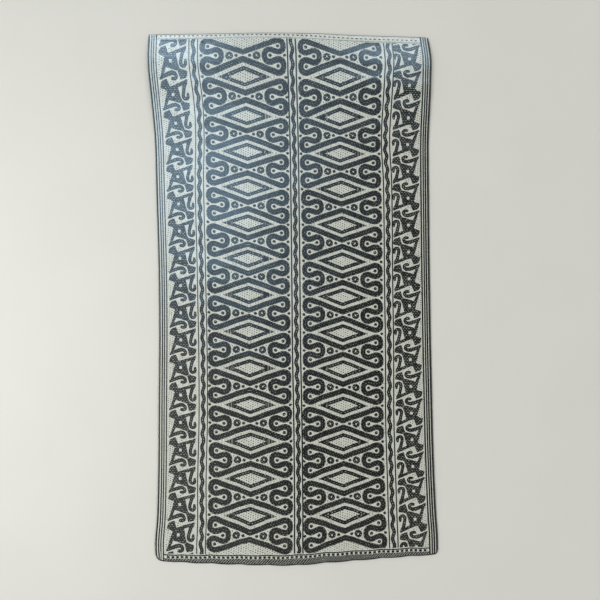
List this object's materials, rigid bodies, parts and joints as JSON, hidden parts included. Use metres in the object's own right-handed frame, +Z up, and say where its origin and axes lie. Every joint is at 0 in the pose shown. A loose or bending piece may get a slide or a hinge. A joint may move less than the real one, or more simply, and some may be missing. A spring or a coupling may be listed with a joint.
{
  "type": "plaited rattan floor mat",
  "caption": "Flat plaited rattan sleeping mat with diamonds, scrolled hooks, wavy guard lines, hooked side borders and a self-turned rim, lying with soft swells and a low ridge near each corner of its head end.",
  "frame": {"origin": "on the floor, under the middle of the mat's outline", "axes": "+Y along the mat towards its head end, +X across the mat, +Z up off the floor"},
  "size_m": [1.0979, 2.0603, 0.01],
  "materials": {
    "rattan": "split rattan, black-dyed and natural straw strips plaited together, satin sheen"
  },
  "bodies": {
    "root": {"mat": "rattan"}
  },
  "joints": []
}
